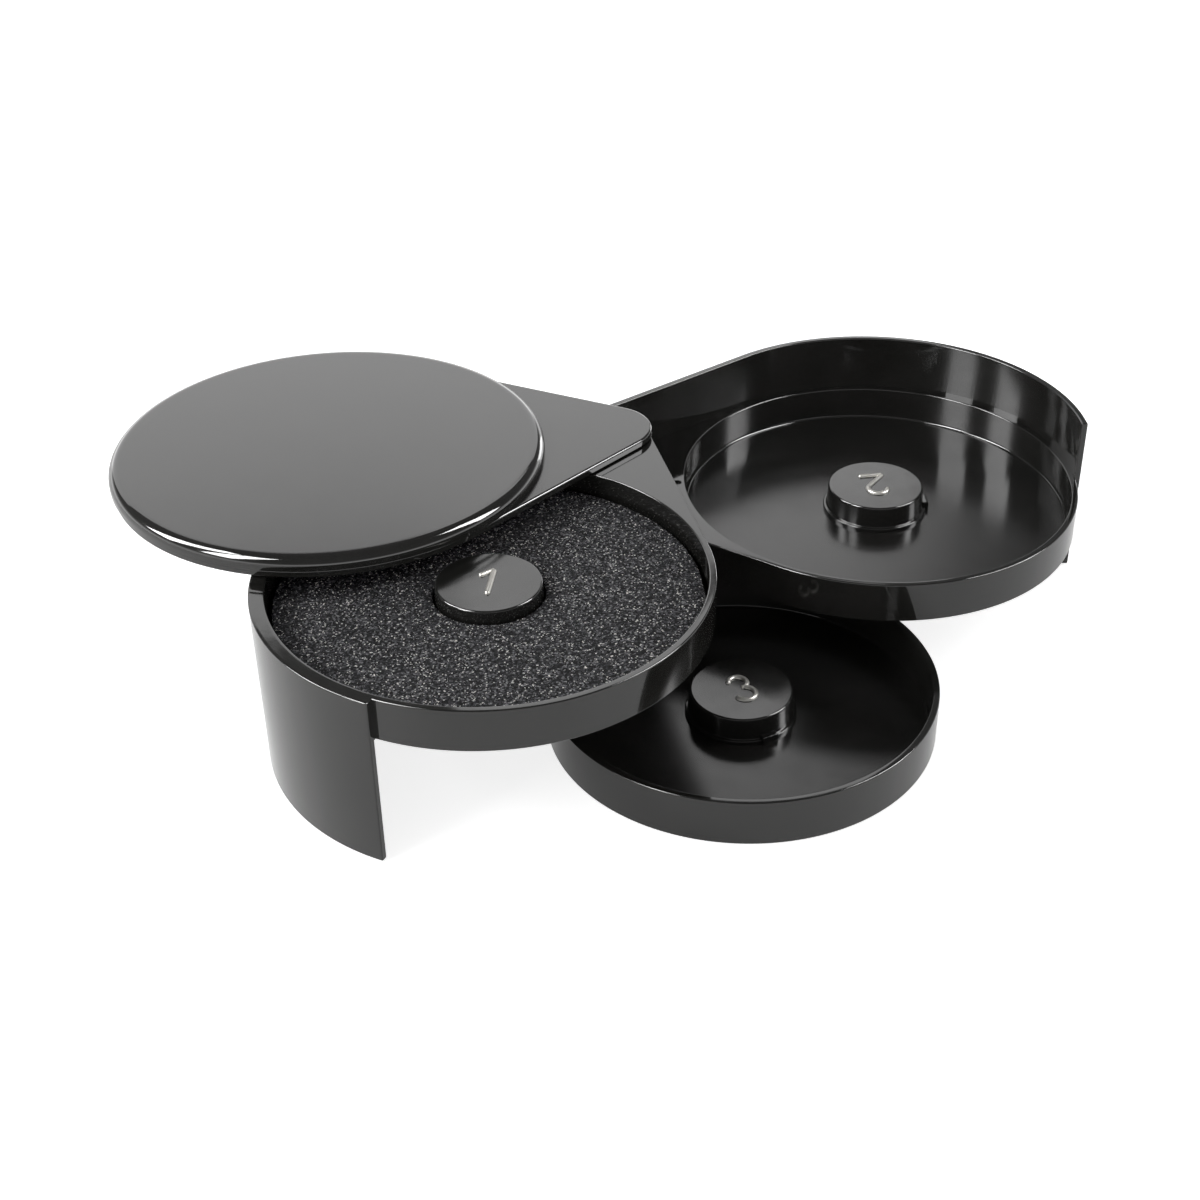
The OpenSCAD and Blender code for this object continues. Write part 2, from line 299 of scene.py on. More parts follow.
def ringLoop(angles, radius, z):
    return [(plan["reach"] + radius * math.cos(a), radius * math.sin(a), z) for a in angles]


def outlineLoop(angles, big, tip, z):
    edges = [(a, edgeOf(a, big, tip)) for a in angles]
    return [(plan["reach"] + r * math.cos(a), r * math.sin(a), z) for a, r in edges]


def corner(x0, z0, x1, z1, steps=4):
    # Quarter turn from (x0, z0) to (x1, z1); it leaves the first point along z
    return [(x0 + (x1 - x0) * (1 - math.cos(t)), z0 + (z1 - z0) * math.sin(t))
            for t in (math.pi / 2 * i / steps for i in range(steps + 1))]


def turnIn(x0, z0, x1, z1, steps=4):
    # Quarter turn from (x0, z0) to (x1, z1); it leaves the first point along x
    return [(x0 + (x1 - x0) * math.sin(t), z0 + (z1 - z0) * (1 - math.cos(t)))
            for t in (math.pi / 2 * i / steps for i in range(steps + 1))]


def linked(name, data):
    piece = bpy.data.objects.new(name, data)
    bpy.context.scene.collection.objects.link(piece)
    return piece


def closeMesh(mesh, merge=samePoint, fill=False):
    # Merges doubled points, fills open ends where asked, and turns the faces outwards
    bm = bmesh.new()
    bm.from_mesh(mesh)
    bmesh.ops.remove_doubles(bm, verts=bm.verts, dist=merge)
    if fill:
        bmesh.ops.holes_fill(bm, edges=bm.edges)
    bmesh.ops.recalc_face_normals(bm, faces=bm.faces)
    if bm.calc_volume(signed=True) < 0:
        bmesh.ops.reverse_faces(bm, faces=bm.faces)
    bm.to_mesh(mesh)
    bm.free()
    return mesh


def meshPiece(name, points, faces):
    mesh = bpy.data.meshes.new(name)
    mesh.from_pydata([tuple(c * mm for c in p) for p in points], [], faces)
    return linked(name, closeMesh(mesh))


def stack(name, loops, first, last):
    # Skin over loops of the same count, from one pole to the other
    points, faces, n = [first], [], len(loops[0])
    for loop in loops:
        points += loop
    points.append(last)
    for k in range(n):
        j = (k + 1) % n
        faces.append((0, 1 + k, 1 + j))
        for i in range(len(loops) - 1):
            a, b = 1 + i * n, 1 + (i + 1) * n
            faces.append((a + k, b + k, b + j, a + j))
        a = 1 + (len(loops) - 1) * n
        faces.append((a + k, len(points) - 1, a + j))
    return meshPiece(name, points, faces)


def lathe(name, profile, centre=(0, 0), steps=96):
    # Solid of revolution about an upright line; the profile runs from axis to axis
    angles = [math.tau * k / steps for k in range(steps)]
    loops = [[(centre[0] + r * math.cos(t), centre[1] + r * math.sin(t), z) for t in angles]
             for r, z in profile[1:-1]]
    return stack(name, loops, (*centre, profile[0][1]), (*centre, profile[-1][1]))


def rod(name, radius, low, high, centre=(0, 0), steps=96):
    return lathe(name, [(0, low), (radius, low), (radius, high), (0, high)], centre, steps)


def block(name, low, high):
    # Six-sided block between two opposite corners
    points = [(x, y, z) for x in (low[0], high[0]) for y in (low[1], high[1])
              for z in (low[2], high[2])]
    sides = [(0, 1, 3, 2), (4, 6, 7, 5), (0, 4, 5, 1), (2, 3, 7, 6), (0, 2, 6, 4), (1, 5, 7, 3)]
    return meshPiece(name, points, sides)


def bake(piece):
    # Turns what the modifiers make into the piece's own mesh
    deps = bpy.context.evaluated_depsgraph_get()
    mesh = bpy.data.meshes.new_from_object(piece.evaluated_get(deps),
                                           preserve_all_data_layers=True, depsgraph=deps)
    piece.modifiers.clear()
    piece.data = mesh
    return piece


def join(piece, other, how):
    m = piece.modifiers.new("join", "BOOLEAN")
    m.operation, m.object, m.solver = how, other, "EXACT"
    m.material_mode = "TRANSFER"
    bake(piece)
    bpy.data.objects.remove(other)
    return piece


def drill(piece, radius, low, high):
    return join(piece, rod("drill", radius, low, high, steps=64), "DIFFERENCE")


def roundEdges(piece, width, fromAngle=30):
    m = piece.modifiers.new("edges", "BEVEL")
    m.width, m.segments = width * mm, 3
    m.limit_method, m.angle_limit = "ANGLE", math.radians(fromAngle)
    return bake(piece)


def turnToPlace(mesh, body):
    mesh.transform(Matrix.Rotation(math.radians(plan["closedBearing"] + swing[body]), 4, "Z"))


def facesUp(face):
    return face.normal.z > 0.999


def dress(piece, body, finishes, rule=None, smooth=32):
    # Turns the piece to its body's place, sets its materials and its shading, and lets it ride;
    # the rule says which faces take the second finish
    turnToPlace(piece.data, body)
    piece.data.materials.clear()
    for finish in finishes:
        piece.data.materials.append(finish)
    for face in piece.data.polygons:
        face.material_index = int(rule(face)) if rule else 0
        face.use_smooth = True
    piece.data.set_sharp_from_angle(angle=math.radians(smooth))
    m = piece.modifiers.new("normals", "WEIGHTED_NORMAL")
    m.keep_sharp, m.weight = True, 80
    bake(piece)
    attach(piece, body)
    return piece


def startTree(name, sockets):
    # A geometry tree with named inputs, and a wire from each of them
    tree = bpy.data.node_groups.new(name, "GeometryNodeTree")
    for label, kind in sockets.items():
        tree.interface.new_socket(label, in_out="INPUT", socket_type="NodeSocket" + kind)
    tree.interface.new_socket("Shape", in_out="OUTPUT", socket_type="NodeSocketGeometry")
    g = Graph(tree)
    start = tree.nodes.new("NodeGroupInput")
    return g, [Wire(g, socket) for socket in start.outputs[:len(sockets)]]


def endTree(g, shape, finish):
    # Makes any instances real and gives the shape its material
    shape = g.add("GeometryNodeRealizeInstances", values={"Geometry": shape})
    shape = g.add("GeometryNodeSetMaterial", values={"Geometry": shape, "Material": finish})
    g.tree.links.new(shape.socket, g.tree.nodes.new("NodeGroupOutput").inputs[0])
    return g.tree


def growTree(piece, tree, values):
    # Runs a tree on the piece; its inputs are set by identifier, before it is evaluated
    m = piece.modifiers.new(tree.name, "NODES")
    m.node_group = tree
    for item in tree.interface.items_tree:
        if item.in_out == "INPUT" and item.name in values:
            m[item.identifier] = values[item.name]
    return bake(piece)


def sweepTree():
    # Sweeps an upright wall along a path, with its thickness and its two heights as inputs
    g, (path, thick, low, high, finish) = startTree("upright wall", {
        "Path": "Geometry", "Thickness": "Float", "Bottom": "Float", "Top": "Float",
        "Finish": "Material"})
    curve = g.add("GeometryNodeMeshToCurve", values={"Mesh": path})
    curve = g.add("GeometryNodeSetCurveNormal", {"mode": "Z_UP"}, {"Curve": curve})
    section = g.add("GeometryNodeCurvePrimitiveQuadrilateral",
                    values={"Width": thick, "Height": high - low})
    shift = g.add("ShaderNodeCombineXYZ", values={"Y": (high + low) * -0.5})
    section = g.add("GeometryNodeTransform", values={"Geometry": section, "Translation": shift})
    wall = g.add("GeometryNodeCurveToMesh",
                 values={"Curve": curve, "Profile Curve": section, "Fill Caps": True})
    return endTree(g, wall, finish)


uprightWall = sweepTree()

shell = {   # ends are gaps from the centre line at the front, the tail is a bearing in degrees
    "gap": 0.4, "wall": 2.4, "bottom": 0.4, "round": 0.45, "roundFrom": 60,
    "wallEnd": -2.0, "skirtEnd": 2.6, "tail": 120, "steps": 84, "tailSteps": 6,
}


def sidePath(name, offset, frontGap, side):
    # The tray's outline on one side, from near the front to behind the pivot
    big, tip = plan["ring"] + offset, plan["tip"] + offset
    turn = math.pi / 2 + lean(big, tip)
    start = math.asin(frontGap / big)
    points = []
    for i in range(shell["steps"] + 1):
        a = start + (turn - start) * i / shell["steps"]
        points.append((plan["reach"] + big * math.cos(a), big * math.sin(a)))
    tail = math.radians(shell["tail"])
    reach = tip / math.cos(turn - tail)
    x0, y0 = points[-1]
    x1, y1 = reach * math.cos(tail), reach * math.sin(tail)
    parts = shell["tailSteps"]
    points += [(x0 + (x1 - x0) * i / parts, y0 + (y1 - y0) * i / parts)
               for i in range(1, parts + 1)]
    mesh = bpy.data.meshes.new(name)
    mesh.from_pydata([(x * mm, side * y * mm, 0) for x, y in points],
                     [(i, i + 1) for i in range(len(points) - 1)], [])
    return linked(name, mesh)


def wallAlong(name, inside, outside, low, high, frontGap, side):
    # Wall between two distances from the tray's outline, and two heights
    piece = sidePath(name, (inside + outside) / 2, frontGap, side)
    growTree(piece, uprightWall, {
        "Thickness": (outside - inside) * mm, "Bottom": low * mm, "Top": high * mm,
        "Finish": glossBlack})
    closeMesh(piece.data)
    return piece


def halfShell(piece, at, frontGap, side):
    # The step ties the tray's ring to its half of the outer shell
    gap, thick = shell["gap"], shell["wall"]
    step = wallAlong("step", -plan["wall"] / 2, gap + thick / 2, at, at + tray["height"],
                     frontGap, side)
    wall = wallAlong("wall", gap, gap + thick, shell["bottom"], plan["rimTop"], frontGap, side)
    roundEdges(wall, shell["round"], shell["roundFrom"])
    join(piece, step, "UNION")
    return join(piece, wall, "UNION")


tray = {
    "floor": 2.2, "height": 15.1, "baseHeight": 16.8, "saltAt": 25.6, "limeAt": 47.0,
    "rimRound": 0.5, "footRound": 0.5, "cove": 1.0, "footRing": 6, "relief": 0.8,
    "floorRings": (30, 45, 60), "floorEdge": 1.5,   # loops that keep the floor's shading even
    "bossTop": 9.55, "bossRound": 0.5, "seat": 15.65, "core": 13.25, "coreTop": 7.15,
    "webTop": 2.6, "rib": 2, "hub": 10.5, "hubRound": 0.4, "bolt": 3.06, "washer": 0.5,
    "headPocket": (8, 7.2), "bossBore": (6.66, 53.1),   # radius and height
    "dimple": (26.2, 1.4, 1.2),   # distance from the pivot, radius and depth
    "dimpleEdge": (0.3, 0.25, 0.1),   # its round, and where the break starts and ends
}


def webPocket(outer, height, at):
    # What the mould leaves open under the web: all but its top, its sides, the hub and one rib
    inner, tip = outer - plan["wall"], plan["tip"] - plan["wall"]
    roof, half = height - tray["webTop"], tray["rib"] / 2
    angles = planAngles(inner, tip)
    loops = [outlineLoop(angles, inner, tip, at + z) for z in (-past, roof)]
    piece = stack("pocket", loops, (*ringCentre, at - past), (*ringCentre, at + roof))
    low, high = at - 2 * past, at + height
    join(piece, rod("dish", outer, low, high, ringCentre, 180), "DIFFERENCE")
    join(piece, rod("hub", tray["hub"], low, high), "DIFFERENCE")
    rib = block("rib", (0, -half, low), (plan["reach"], half, high))
    return join(piece, rib, "DIFFERENCE")


def trayBody(name, outer, height, at):
    # One skin from the seat's top, over the rim and the foot, to the core under the seat
    t = tray
    tip, bore = plan["tip"], outer - plan["wall"]
    rim, foot, boss, cove = t["rimRound"], t["footRound"], t["bossRound"], t["cove"]
    inside = [(t["seat"] - boss, t["bossTop"]), (t["seat"], t["bossTop"] - boss),
              (t["seat"], t["floor"])]
    inside += [(r, t["floor"]) for r in (*t["floorRings"], bore - cove - t["floorEdge"])]
    inside += turnIn(bore - cove, t["floor"], bore, t["floor"] + cove, steps=5)
    inside += corner(bore, height - rim, bore + rim, height)
    outside = turnIn(rim, height, 0, height - rim) + corner(0, foot, foot, 0)
    footEdge = outer - t["footRing"]
    under = [(footEdge, 0), (footEdge - t["relief"], t["relief"]),
             (t["core"] + t["relief"], t["relief"]), (t["core"], 0), (t["core"], t["coreTop"])]
    angles = planAngles(outer, tip)
    rings = [ringLoop(angles, r, at + z) for r, z in inside]
    rings += [outlineLoop(angles, outer - d, tip - d, at + z) for d, z in outside]
    rings += [ringLoop(angles, r, at + z) for r, z in under]
    piece = stack(name, rings, (*ringCentre, at + t["bossTop"]), (*ringCentre, at + t["coreTop"]))
    return join(piece, webPocket(outer, height, at), "DIFFERENCE")


def hubColumn(piece, low, high):
    r, e = tray["hub"], tray["hubRound"]
    profile = [(0, low), (r - e, low), (r, low + e), (r, high - e), (r - e, high), (0, high)]
    return join(piece, lathe("hub", profile), "UNION")


def dimple(piece, top):
    # Round blind hole in the neck, with its edge broken
    u, r, depth = tray["dimple"]
    e, below, above = tray["dimpleEdge"]
    low, over = top - depth, top + above
    profile = [(0, low), (r - e, low), (r, low + e), (r, top - below), (r + e, over), (0, over)]
    return join(piece, lathe("dimple", profile, (u, 0), steps=40), "DIFFERENCE")


def satinFloor(at):
    # The dish floor has a fine satin texture, all else is polished
    height, near = (at + tray["floor"]) * mm, 0.01 * mm
    return lambda face: facesUp(face) and abs(face.center.z - height) < near


saltAt, limeAt = tray["saltAt"], tray["limeAt"]

sugarTray = trayBody("baseTray", plan["baseRing"], tray["baseHeight"], 0)
hubColumn(sugarTray, 0, saltAt - tray["washer"])
pocketRadius, pocketTop = tray["headPocket"]
drill(sugarTray, pocketRadius, -past, pocketTop)
drill(sugarTray, tray["bolt"], -past, saltAt + past)
dress(sugarTray, "sugar", [glossBlack, floorBlack], satinFloor(0))
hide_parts("sugar_tray")

saltTray = trayBody("middleTray", plan["ring"], tray["height"], saltAt)
hubColumn(saltTray, saltAt, limeAt - tray["washer"])
halfShell(saltTray, saltAt, shell["wallEnd"], 1)
drill(saltTray, tray["bolt"], saltAt - past, limeAt + past)
dimple(saltTray, saltAt + tray["height"])
dress(saltTray, "salt", [glossBlack, floorBlack], satinFloor(saltAt))
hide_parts("salt_tray")

limeTray = trayBody("topTray", plan["ring"], tray["height"], limeAt)
halfShell(limeTray, limeAt, shell["skirtEnd"], -1)
boreRadius, boreLow = tray["bossBore"]
drill(limeTray, tray["bolt"], limeAt - past, plan["rimTop"] + past)
drill(limeTray, boreRadius, boreLow, plan["rimTop"] + past)
dimple(limeTray, plan["rimTop"])
dress(limeTray, "lime", [glossBlack, floorBlack], satinFloor(limeAt))
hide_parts("lime_tray")
print("trays made")

lid = {
    "at": 62.6, "plate": 76.5, "tip": 16.6, "plateThick": 2.7, "plateRound": 0.9, "edge": 0.3,
    "disc": 77.3, "discThick": 4.8, "discRound": 3.6, "discRings": (20, 40, 60), "discEdge": 1,
    "rim": 5.3, "roof": 3.0, "recessEdge": 0.4, "recessRound": 0.8,
    "boss": 6.6, "bossLength": 9.0, "insert": 4.2, "insertLength": 7.5,
}


def makeLid():
    # Teardrop plate with a raised disc, hollow below it, and the boss that takes the insert
    p = lid
    plate, tip, disc, e = p["plate"], p["tip"], p["disc"], p["edge"]
    low, top = p["at"], p["at"] + p["plateThick"]
    discTop = top + p["discThick"]
    bend = disc - p["discRound"]
    inner, roof = disc - p["rim"], discTop - p["roof"]
    upper = [(r, discTop) for r in (*p["discRings"], bend - p["discEdge"])]
    upper += turnIn(bend, discTop, disc, discTop - p["discRound"], steps=8) + [(disc, top)]
    outline = [(p["plateRound"] + e, top)]
    outline += turnIn(p["plateRound"], top, 0, top - p["plateRound"]) + corner(0, low + e, e, low)
    lower = [(inner + p["recessEdge"], low), (inner, low + p["recessEdge"]),
             (inner, roof - p["recessRound"]), (inner - p["recessRound"], roof)]
    angles = planAngles(plate, tip)
    rings = [ringLoop(angles, r, z) for r, z in upper]
    rings += [outlineLoop(angles, plate - d, tip - d, z) for d, z in outline]
    rings += [ringLoop(angles, r, z) for r, z in lower]
    piece = stack("lidPlate", rings, (*ringCentre, discTop), (*ringCentre, roof))
    boss, foot, into = p["boss"], low - p["bossLength"], low + past
    profile = [(0, foot), (boss - e, foot), (boss, foot + e), (boss, into), (0, into)]
    join(piece, lathe("boss", profile), "UNION")
    drill(piece, p["insert"], foot - past, foot + p["insertLength"])
    dress(piece, "lid", [glossBlack, lidBlack], facesUp)
    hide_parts("lid")


makeLid()
print("lid made")

button = {
    "top": 11.7, "radius": 17.8, "draft": 0.4, "round": 0.7, "wall": 2.0, "gap": 0.15,
    "flange": 1.2, "flangeThick": 1.4, "flangeRound": 0.4, "cove": 0.35, "lift": 0.02,
    "tab": (6, 0.9), "tabRound": 0.3, "steps": 144, "smooth": 40, "capDepth": 0.1,
    "numeralHigh": 13.5, "bead": 1.0, "beadSink": 0.05,
    "marks": {"lime": (1, 106), "salt": (2, 186), "sugar": (3, 84)},   # numeral and its turn
}


def arc(centre, radius, start, end, steps=14):
    angles = [math.radians(start + (end - start) * i / steps) for i in range(steps + 1)]
    return [(centre[0] + radius * math.cos(t), centre[1] + radius * math.sin(t)) for t in angles]


def numeralPath(mark, high):
    # Centre line of a plain numeral, drawn 10 mm high and then scaled
    if mark == 1:
        path = [(-2.2, 2.7), (0.2, 5), (0.5, 4.6), (0.5, -5)]
    elif mark == 2:
        path = arc((0, 2.3), 2.7, 165, -30) + [(-2.75, -4.5), (-2.6, -5), (3, -5)]
    else:
        path = arc((0, 2.6), 2.4, 155, -80) + arc((0, -2.3), 2.7, 80, -155)
    return [(x * high / 10, y * high / 10) for x, y in path]


def beadMesh(name, path, radius, endSteps=5, thinnest=0.001, merge=5e-6):
    # Round bead along a path, its ends drawn in like half balls
    turns = [math.pi / 2 * i / endSteps for i in range(1, endSteps + 1)]
    tips = []
    for here, before in ((path[0], path[1]), (path[-1], path[-2])):
        here = Vector(here)
        out = (here - Vector(before)).normalized()
        tips.append([(*(here + out * radius * math.sin(t)), math.cos(t)) for t in turns])
    points = tips[0][::-1] + [(*q, 1) for q in path] + tips[1]
    curve = bpy.data.curves.new(name, "CURVE")
    curve.dimensions, curve.use_fill_caps = "3D", False
    curve.bevel_depth, curve.bevel_resolution = radius * mm, 4
    line = curve.splines.new("POLY")
    line.points.add(len(points) - 1)
    for point, (x, y, thick) in zip(line.points, points):
        point.co, point.radius = (x * mm, y * mm, 0, 1), max(thick, thinnest)
    bead = linked(name, curve)
    deps = bpy.context.evaluated_depsgraph_get()
    mesh = bpy.data.meshes.new_from_object(bead.evaluated_get(deps), depsgraph=deps)
    bpy.data.objects.remove(bead)
    return closeMesh(mesh, merge, True)


def makeNumeral(body, z):
    # The bead lies a little into the cap's top
    mark, turn = button["marks"][body]
    mesh = beadMesh("numeral", numeralPath(mark, button["numeralHigh"]), button["bead"])
    mesh.transform(Matrix.Rotation(math.radians(turn), 4, "Z"))
    mesh.transform(Matrix.Translation((plan["reach"] * mm, 0, z * mm)))
    return linked(body + "Numeral", mesh)


def makeButton(body, at):
    # Cap with a draughted side, a thin flange with a tab, and a raised numeral
    b, top, radius, e = button, button["top"], button["radius"], button["round"]
    base = radius + b["draft"]
    foot = base + b["flange"]
    floor, rest = tray["floor"], tray["floor"] + b["lift"]
    flange, cove, edge = floor + b["flangeThick"], b["cove"], b["flangeRound"]
    inside, roof = tray["seat"] + b["gap"], top - b["wall"]
    profile = [(0, top)] + turnIn(radius - e, top, radius, top - e, steps=5)
    profile += corner(base, flange + cove, base + cove, flange, steps=3)
    profile += turnIn(foot - edge, flange, foot, flange - edge, steps=3)
    profile += [(foot, rest), (inside, rest), (inside, roof), (0, roof)]
    piece = lathe(body + "Button", [(r, z + at) for r, z in profile], ringCentre, b["steps"])
    wide, out = b["tab"]
    tab = block("tab", (plan["reach"] + (base - b["tabRound"]), -wide / 2, at + rest),
                (plan["reach"] + (foot + out), wide / 2, at + floor + 2 * b["flangeThick"]))
    join(piece, roundEdges(tab, b["tabRound"]), "UNION")
    numeral = makeNumeral(body, at + top - b["beadSink"])
    capFrom = (at + top - b["capDepth"]) * mm
    dress(piece, body, [glossBlack, capBlack],
          lambda face: facesUp(face) and face.center.z > capFrom, b["smooth"])
    # The numeral's pale colour is a painted highlight
    dress(numeral, body, [numeralPaintedHighlight], smooth=b["smooth"])
    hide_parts(body + "_button")


for body, at in (("sugar", 0), ("salt", saltAt), ("lime", limeAt)):
    makeButton(body, at)
print("buttons made")

sponge = {
    "outer": 70.7, "hole": 18.8, "foot": 20.9, "thick": 5.3, "step": 3.4, "edge": 0.7,
    "lift": 0.05, "pitch": 0.45, "pitchAt": 47, "sidePitch": 0.8,   # spacing of the mesh lines
    "sideLines": 3, "roundSteps": 3,
    "cell": 1.0, "depth": 0.5, "seed": 4.0,
    "bubbles": 0.8, "fuzz": 0.9, "level": 0.95, "fuzzFiner": 1.7,   # shares of the roughness
}


def spongeTree():
    # Roughens the foam's skin with cells of a named size and depth
    s = sponge
    g, (foam, cell, depth, seed, finish) = startTree("foam cells", {
        "Foam": "Geometry", "Cell size": "Float", "Depth": "Float", "Seed": "Float",
        "Finish": "Material"})
    place = g.add("GeometryNodeInputPosition")
    normal = g.add("GeometryNodeInputNormal")
    scale = 1.0 / cell
    bubbles = g.add("ShaderNodeTexVoronoi", {"voronoi_dimensions": "4D", "feature": "F1"},
                    {"Vector": place, "W": seed, "Scale": scale})
    fuzz = g.add("ShaderNodeTexNoise", {"noise_dimensions": "4D"},
                 {"Vector": place, "W": seed, "Scale": scale * s["fuzzFiner"], "Detail": 2.0})
    height = (bubbles * s["bubbles"] + fuzz * s["fuzz"] - s["level"]) * depth
    push = g.add("ShaderNodeVectorMath", {"operation": "SCALE"},
                 {"Vector": normal, "Scale": height})
    moved = g.add("GeometryNodeSetPosition", values={"Geometry": foam, "Offset": push})
    return endTree(g, moved, finish)


def makeSponge():
    # Ring with a foot that clears the button's flange, meshed finely enough for the cells
    s, hole, outer, edge = sponge, sponge["hole"], sponge["outer"], sponge["edge"]
    low = limeAt + tray["floor"] + s["lift"]
    top, step = low + s["thick"], low + s["step"]
    a, b, bends = hole + edge, outer - edge, s["roundSteps"]
    profile = [(s["foot"], low), (s["foot"], step), (hole, step), (hole, top - edge)]
    profile += corner(hole, top - edge, a, top, bends)[1:]
    lines = round((outer - hole - 2 * edge) / s["pitch"])
    profile += [(a + (b - a) * i / lines, top) for i in range(1, lines)]
    profile += turnIn(b, top, outer, top - edge, bends)
    profile += [(outer, top - edge - i * s["sidePitch"]) for i in range(1, s["sideLines"] + 1)]
    profile.append((outer, low))
    n = round(math.tau * s["pitchAt"] / s["pitch"])
    angles = [math.tau * k / n for k in range(n)]
    points, faces, m = [], [], len(profile)
    for r, z in profile:
        points += ringLoop(angles, r, z)
    for i in range(m):
        j = (i + 1) % m
        faces += [(i * n + k, j * n + k, j * n + (k + 1) % n, i * n + (k + 1) % n)
                  for k in range(n)]
    piece = meshPiece("spongeRing", points, faces)
    turnToPlace(piece.data, "lime")
    growTree(piece, spongeTree(), {"Cell size": s["cell"] * mm, "Depth": s["depth"] * mm,
                                   "Seed": s["seed"], "Finish": spongeGrey})
    for face in piece.data.polygons:
        face.use_smooth = True
    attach(piece, "lime")
    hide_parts("lime_sponge")
    return piece


foam = makeSponge()
print("sponge made:", sum(len(p.vertices) - 2 for p in foam.data.polygons), "triangles")

pivotFinishes = {   # the pivot's parts keep their solids
    "lid_insert": brass, "pivot_bolt": steel, "head_washer": steel, "spring_washer": springSteel,
    "lower_washer": nylon, "middle_washer": nylon, "upper_washer": nylon,
}
for nodeName, finish in pivotFinishes.items():
    nodes[nodeName].data.materials.clear()
    nodes[nodeName].data.materials.append(finish)
print("pivot parts finished")

studio = {
    "floorSize": 6.0, "floorAt": -0.0003, "floorGrain": 40.0,
    "floorColour": (0.85, 0.85, 0.85), "floorShade": 0.985, "floorLift": 0.81, "floorInGloss": 0.45,
    "worldSeen": 1.0, "worldPeak": 2.5,
    "worldByHeight": ((0.0, 1.0), (0.14, 0.85), (0.25, 0.2), (0.35, 0.09), (1.0, 0.07)),
    "aim": (-0.01, -0.05, 0.03),
    "lamps": (   # bearing, elevation, distance, width, height, radiance, and what doesn't see it
        ("backBox", 10.5, 21, 1.7, 1.75, 0.9, 1.65, ""),
        ("backBoxHigh", 29, 39.3, 1.7, 0.54, 0.21, 1.95, ""),
        ("leftBox", -62, 33, 1.5, 0.6, 0.5, 7.0, "gloss"),
        ("leftFrontBox", -97, 33, 1.5, 0.6, 0.5, 7.0, "gloss"),
        ("rightBox", 112, 33, 1.5, 0.5, 0.5, 6.0, "gloss"),
        ("leftStrip", -62, 42, 1.52, 0.42, 1.0, 27.0, "diffuse"),
        ("leftFrontStrip", -97, 42, 1.52, 0.42, 1.0, 27.0, "diffuse"),
        ("rightStrip", 112, 42, 1.52, 0.38, 1.0, 24.0, "diffuse"),
        ("farRightCard", 57, 8, 1.5, 0.37, 0.36, 5.0, "diffuse"),
    ),
}


def floorFinish():
    # Pale paper; to the camera and in reflections it is lifted towards white, shadow and all
    material = bpy.data.materials.new("pale floor")
    material.use_nodes = True
    g = Graph(material.node_tree)
    g.tree.nodes.clear()
    place = g.add("ShaderNodeTexCoord", output="Object")
    grain = g.add("ShaderNodeTexNoise", values={"Vector": place, "Scale": studio["floorGrain"]})
    pale = studio["floorColour"]
    dull = tuple(v * studio["floorShade"] for v in pale)
    colour = g.add("ShaderNodeValToRGB", {"stops": ((0.0, dull), (1.0, pale))}, {0: grain})
    paper = g.add("ShaderNodeBsdfDiffuse", values={"Color": colour})
    toCamera = g.add("ShaderNodeLightPath", output="Is Camera Ray")
    toGloss = g.add("ShaderNodeLightPath", output="Is Glossy Ray")
    inGloss = studio["floorInGloss"]
    lift = toCamera * (studio["floorLift"] - inGloss) + inGloss
    glow = g.add("ShaderNodeEmission", values={"Color": (*white, 1), "Strength": lift})
    lifted = g.add("ShaderNodeAddShader", values={0: paper, 1: glow})
    seen = g.add("ShaderNodeMath", {"operation": "MAXIMUM"}, {0: toCamera, 1: toGloss})
    mixed = g.add("ShaderNodeMixShader", values={0: seen, 1: paper, 2: lifted})
    end = g.tree.nodes.new("ShaderNodeOutputMaterial")
    g.tree.links.new(mixed.socket, end.inputs[0])
    return material


half, floorAt = studio["floorSize"] / 2, studio["floorAt"]
floorMesh = bpy.data.meshes.new("paperFloor")
corners = [(x * half, y * half, floorAt) for x, y in ((-1, -1), (1, -1), (1, 1), (-1, 1))]
floorMesh.from_pydata(corners, [], [(0, 1, 2, 3)])
floorMesh.materials.append(floorFinish())
paperFloor = linked("paperFloor", floorMesh)

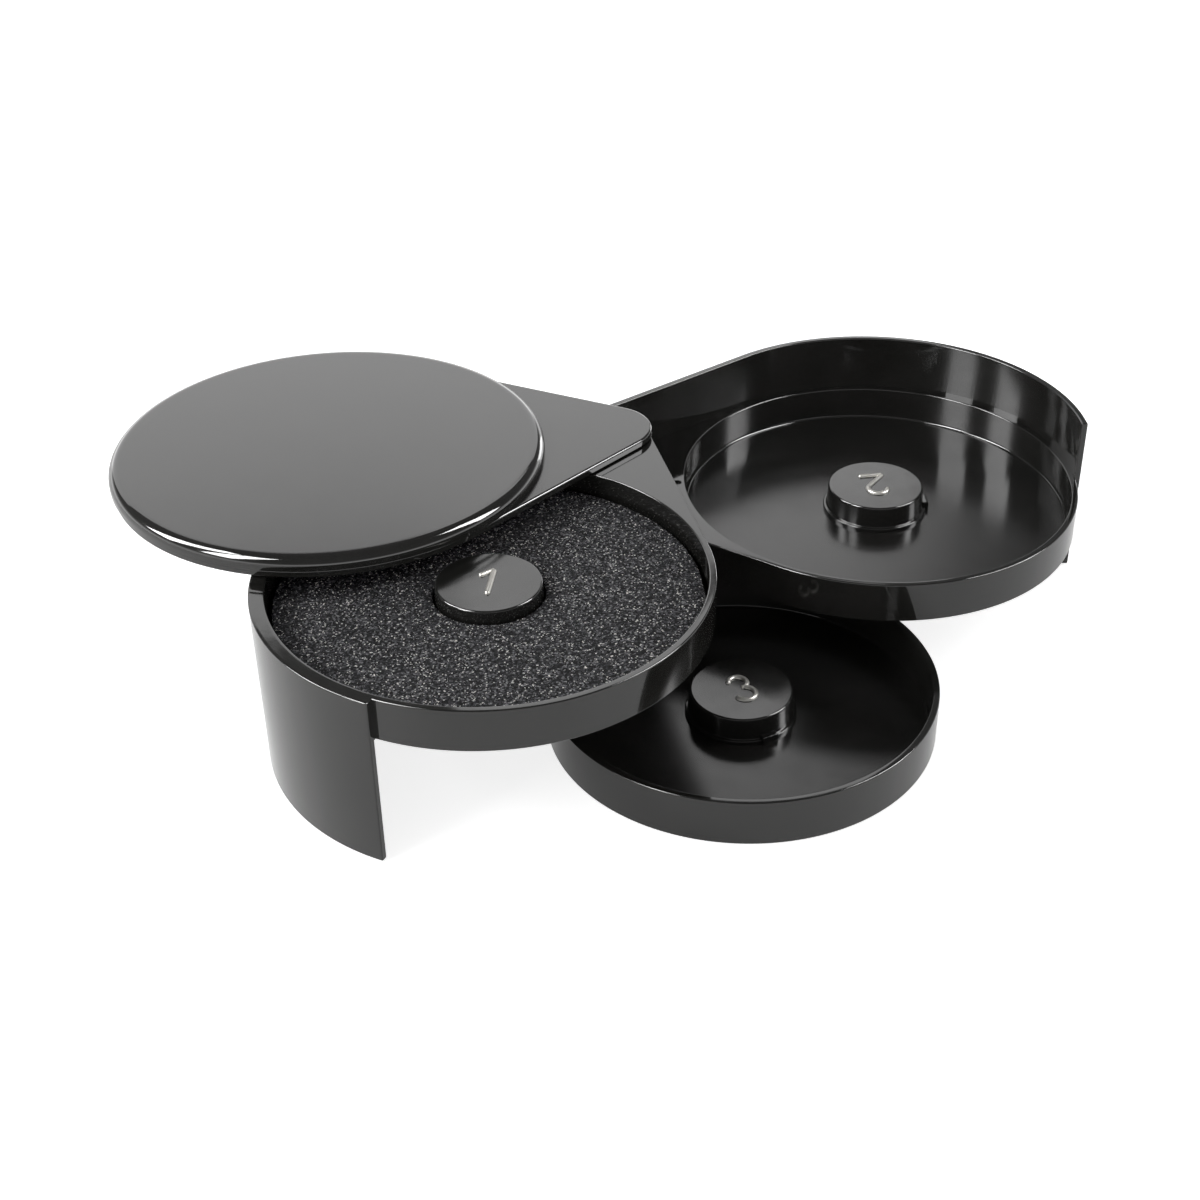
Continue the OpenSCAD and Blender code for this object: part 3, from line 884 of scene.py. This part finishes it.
world = bpy.data.worlds.new("studio")
bpy.context.scene.world = world
world.use_nodes = True
sky = Graph(world.node_tree)
sky.tree.nodes.clear()
ray = sky.add("ShaderNodeLightPath", output="Is Camera Ray")
heading = sky.add("ShaderNodeTexCoord", output="Generated")
upward = sky.add("ShaderNodeSeparateXYZ", values={0: heading}, output="Z")
greys = [(z, (v, v, v)) for z, v in studio["worldByHeight"]]
shades = sky.add("ShaderNodeValToRGB", {"stops": greys}, {0: upward})
dim = sky.add("ShaderNodeBackground", values={"Color": shades, "Strength": studio["worldPeak"]})
bright = sky.add("ShaderNodeBackground",
                 values={"Color": (*white, 1), "Strength": studio["worldSeen"]})
chosen = sky.add("ShaderNodeMixShader", values={0: ray, 1: dim, 2: bright})
sky.tree.links.new(chosen.socket, sky.tree.nodes.new("ShaderNodeOutputWorld").inputs[0])


def headedBy(bearing, rise):
    # Unit vector from a bearing, clockwise from +y, and an elevation, both in degrees
    b, r = math.radians(bearing), math.radians(rise)
    return Vector((math.sin(b) * math.cos(r), math.cos(b) * math.cos(r), math.sin(r)))


for name, bearing, rise, away, wide, high, radiance, unseenBy in studio["lamps"]:
    way = headedBy(bearing, rise)
    data = bpy.data.lights.new(name, "AREA")
    data.shape, data.size, data.size_y = "RECTANGLE", wide, high
    data.energy = radiance * math.pi * wide * high
    lamp = linked(name, data)
    lamp.location = Vector(studio["aim"]) + way * away
    lamp.rotation_euler = way.to_track_quat("Z", "Y").to_euler()
    lamp.visible_diffuse = unseenBy != "diffuse"
    lamp.visible_glossy = unseenBy != "gloss"

view = {
    "place": (-0.2652, -0.53716, 0.38811), "pitch": 33.72, "yaw": 27.12, "roll": -0.38,
    "sensor": 36, "lens": 55.15, "shift": (-0.0267, 0), "clip": (0.01, 20),
}
camera = linked("camera", bpy.data.cameras.new("camera"))
ahead = headedBy(view["yaw"], -view["pitch"])
across = ahead.cross(Vector((0, 0, 1))).normalized()
above = across.cross(ahead)
roll = math.radians(view["roll"])
right = across * math.cos(roll) + above * math.sin(roll)
turned = Matrix((right, right.cross(ahead), -ahead)).transposed().to_4x4()
camera.matrix_world = Matrix.Translation(view["place"]) @ turned
camera.data.sensor_width, camera.data.lens = view["sensor"], view["lens"]
camera.data.shift_x, camera.data.shift_y = view["shift"]
camera.data.clip_start, camera.data.clip_end = view["clip"]
bpy.context.scene.camera = camera
bpy.context.scene.view_settings.view_transform = "Standard"
print("studio made")
